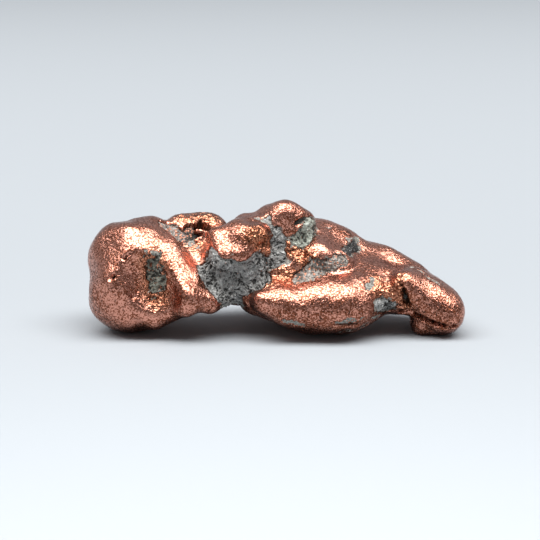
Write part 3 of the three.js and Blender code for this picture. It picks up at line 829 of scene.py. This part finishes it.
def rockMaterial(name, look):
    material, nodes, links, shader = newMaterial(name)
    coords = objectCoords(nodes)
    crest, core = (attributeNode(nodes, n) for n in ("crest", "core"))
    clouds = noiseNode(nodes, links, coords, rockGrain["clouds"], 4, 0.7, 0.8)
    fine = noiseNode(nodes, links, coords, rockGrain["fine"], 3, 0.75)
    grains = grainNode(nodes, links, coords, rockGrain["grains"])
    flecks = noiseNode(nodes, links, coords, rockGrain["flecks"], 2, 0.5)
    tone = mathNode(nodes, links, "ADD", mathNode(nodes, links, "MULTIPLY", clouds, 0.45),
                    mathNode(nodes, links, "MULTIPLY", fine, 0.55))
    # painted shade: the stone is lighter on its raised grains and darker where its face lies low
    tone = mathNode(nodes, links, "ADD", tone, swayNode(nodes, links, crest, 0.42))
    colour = mixColour(nodes, links, rampNode(nodes, links, tone, 0.31, 0.43), look["deep"], look["mid"])
    colour = mixColour(nodes, links, rampNode(nodes, links, tone, 0.52, 0.66), colour, look["light"])
    # painted shade: the stone goes to its deep colour along its edge, where it sinks under the copper
    rim = mathNode(nodes, links, "ADD", core, swayNode(nodes, links, clouds, 0.8))
    rim = rampNode(nodes, links, rim, 0.08, 0.34)
    colour = mixColour(nodes, links, rim, look["deep"], colour)
    white = mathNode(nodes, links, "MULTIPLY", rampNode(nodes, links, fine, 0.63, 0.68), rim)
    colour = mixColour(nodes, links, white, colour, fleckColours["white"])
    metal = rampNode(nodes, links, flecks, look["flecks"], look["flecks"] + 0.03)
    colour = mixColour(nodes, links, metal, colour, fleckColours["copper"])
    links.new(colour, shader.inputs["Base Color"])
    links.new(metal, shader.inputs["Metallic"])
    links.new(rampNode(nodes, links, metal, 0, 1, rockFinish["stoneRough"], rockFinish["fleckRough"]),
              shader.inputs["Roughness"])
    shader.inputs["Specular IOR Level"].default_value = rockFinish["specular"]
    normal = bumpNode(nodes, links, clouds, *rockFinish["cloudBump"])
    normal = bumpNode(nodes, links, mathNode(nodes, links, "ADD", fine, grains),
                      *rockFinish["grainBump"], normal)
    links.new(normal, shader.inputs["Normal"])
    return material


grid = nuggetSkin()
low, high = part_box("copper_nugget")
# the lobes are placed as listed, and this moves them over the middle of the frame
middle = (grid.reshape(-1, 3).min(0) + grid.reshape(-1, 3).max(0)) / 2
toMiddle = np.array([(low.x + high.x) / 2 / mm - middle[0], (low.y + high.y) / 2 / mm - middle[1], 0])
print("skin", grid.shape, "shift", toMiddle.round(3))

shaped, values = metalPiece(grid)
metal = closedGridMesh("nuggetMetal", shaped + toMiddle, values)
metal.data.materials.append(copperMaterial())
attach(metal, "root")
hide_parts("copper_nugget")
print("metal", len(metal.data.polygons))

rockMaterials = {name: rockMaterial(name + "Stone", look) for name, look in rockLooks.items()}
for node, rock in rockFillings.items():
    piece = rockPiece(rock, grid, toMiddle)
    piece.data.materials.append(rockMaterials[rock.get("look", rock["slot"])])
    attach(piece, "root")
    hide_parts(node)
    print(rock["piece"], len(piece.data.polygons))

studio = {
    "lightHeight": 2.0, "lightSize": (4.2, 1.15), "lightCentre": (-0.10, -0.32), "lightPower": 128.0,
    "frontLampPlace": (0, -0.14, 0.17), "frontLampSize": 0.16, "frontLampPower": 0.07,
    "frontLampSpread": 75,
    "floorHalf": 8.0, "floorColour": (0.343, 0.365, 0.385), "floorRough": 0.9, "floorSpecular": 0.1,
    "roomBack": (0.46, 0.47, 0.49), "roomFront": (0.22, 0.22, 0.23),
    "cameraTarget": (-1.24, 0, 10.4), "cameraLift": 14, "cameraDistance": 248, "cameraLens": 100,
}


def makeFloor():
    half = studio["floorHalf"]
    mesh = bpy.data.meshes.new("floor")
    corners = [(-half, -half, 0), (half, -half, 0), (half, half, 0), (-half, half, 0)]
    mesh.from_pydata(corners, [], [(0, 1, 2, 3)])
    floor = bpy.data.objects.new("floor", mesh)
    bpy.context.scene.collection.objects.link(floor)
    material, nodes, links, shader = newMaterial("paleFloor")
    shader.inputs["Base Color"].default_value = (*studio["floorColour"], 1)
    shader.inputs["Roughness"].default_value = studio["floorRough"]
    shader.inputs["Specular IOR Level"].default_value = studio["floorSpecular"]
    floor.data.materials.append(material)


def makeLamp(name, place, size, power):
    lamp = bpy.data.lights.new(name, "AREA")
    lamp.shape = "RECTANGLE"
    lamp.size, lamp.size_y = size
    lamp.energy = power
    holder = bpy.data.objects.new(name, lamp)
    holder.location = place
    bpy.context.scene.collection.objects.link(holder)
    return lamp


def makeLights():
    makeLamp("softbox", (*studio["lightCentre"], studio["lightHeight"]), studio["lightSize"],
             studio["lightPower"])
    # a small lamp over the table in front of the nugget, which lights little else
    front = makeLamp("frontLamp", studio["frontLampPlace"], (studio["frontLampSize"],) * 2,
                     studio["frontLampPower"])
    front.spread = math.radians(studio["frontLampSpread"])
    world = bpy.data.worlds.new("room")
    bpy.context.scene.world = world
    world.use_nodes = True
    nodes, links = world.node_tree.nodes, world.node_tree.links
    background = nodes["Background"]
    split = nodes.new("ShaderNodeSeparateXYZ")
    links.new(nodes.new("ShaderNodeTexCoord").outputs["Generated"], split.inputs[0])
    towardsBack = rampNode(nodes, links, split.outputs["Y"], -0.5, 0.6)
    links.new(mixColour(nodes, links, towardsBack, studio["roomFront"], studio["roomBack"]),
              background.inputs["Color"])


def makeCamera():
    lift = math.radians(studio["cameraLift"])
    target = (np.array(studio["cameraTarget"]) + toMiddle) * mm
    back = Vector((0, -math.cos(lift), math.sin(lift)))
    data = bpy.data.cameras.new("camera")
    data.lens, data.sensor_width = studio["cameraLens"], 36
    data.clip_start, data.clip_end = 0.01, 30
    camera = bpy.data.objects.new("camera", data)
    camera.location = Vector(target) + back * studio["cameraDistance"] * mm
    camera.rotation_mode = "QUATERNION"
    camera.rotation_quaternion = (-back).to_track_quat("-Z", "Y")
    bpy.context.scene.collection.objects.link(camera)
    bpy.context.scene.camera = camera


makeFloor()
makeLights()
makeCamera()
bpy.context.scene.view_settings.view_transform = "Standard"
print("studio")
